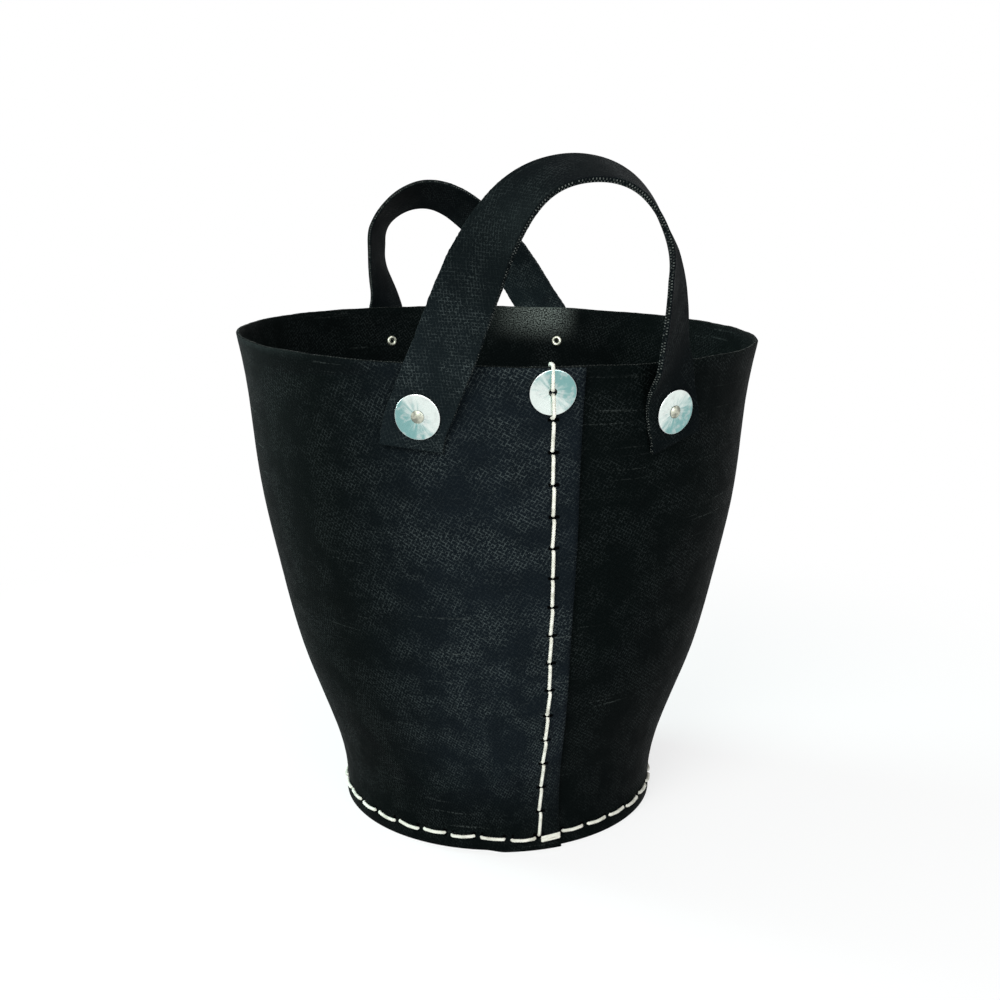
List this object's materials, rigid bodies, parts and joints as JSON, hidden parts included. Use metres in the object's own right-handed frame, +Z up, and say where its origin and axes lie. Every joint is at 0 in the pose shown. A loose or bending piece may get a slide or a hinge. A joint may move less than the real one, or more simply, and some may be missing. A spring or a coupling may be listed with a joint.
{
  "type": "rubber bucket planter",
  "caption": "Round flared bucket planter sewn from one sheet of rubber, with a lapped and stitched seam, a stitched-in base and riveted strap handles that bend.",
  "frame": {"origin": "middle of the foot, on the ground", "axes": "+Z up, the stitched seam faces -Y, the riveted front strap stands over the seam"},
  "size_m": [0.392, 0.4986, 0.4985],
  "materials": {
    "wall_rubber": "matt, with a fine crosshatched grain",
    "strap_rubber": "matt, with cord ends showing in the cut edges",
    "zinc_washer": "bright zinc plating",
    "rivet_metal": "satin",
    "cord": "twisted off-white cord"
  },
  "bodies": {
    "tub": {"wall": "wall_rubber", "base": "wall_rubber", "seam_cord": "cord", "base_cord": "cord", "corner_tack": "cord", "seam_washer": "zinc_washer", "front_strap_left": "strap_rubber", "front_washer_left": "zinc_washer", "front_rivet_left": "rivet_metal", "front_strap_right": "strap_rubber", "front_washer_right": "zinc_washer", "front_rivet_right": "rivet_metal", "rear_strap_left": "strap_rubber", "rear_washer_left": "zinc_washer", "rear_rivet_left": "rivet_metal", "rear_strap_right": "strap_rubber", "rear_washer_right": "zinc_washer", "rear_rivet_right": "rivet_metal"},
    "front_grip": {"front_handle": "strap_rubber"},
    "rear_grip": {"rear_handle": "strap_rubber"}
  },
  "joints": [
    {"name": "front_handle_fold", "type": "hinge", "parent": "tub", "child": "front_grip", "pos_m": [0.0032, -0.18349, 0.3764], "axis": [0.9997, 0.0175, -0.0157], "range_deg": [-55, 60], "stiffness_Nm_per_rad": 0.6},
    {"name": "rear_handle_fold", "type": "hinge", "parent": "tub", "child": "rear_grip", "pos_m": [0.00439, 0.18616, 0.37749], "axis": [-0.9996, 0.0236, 0.0158], "range_deg": [-55, 60], "stiffness_Nm_per_rad": 0.6}
  ]
}
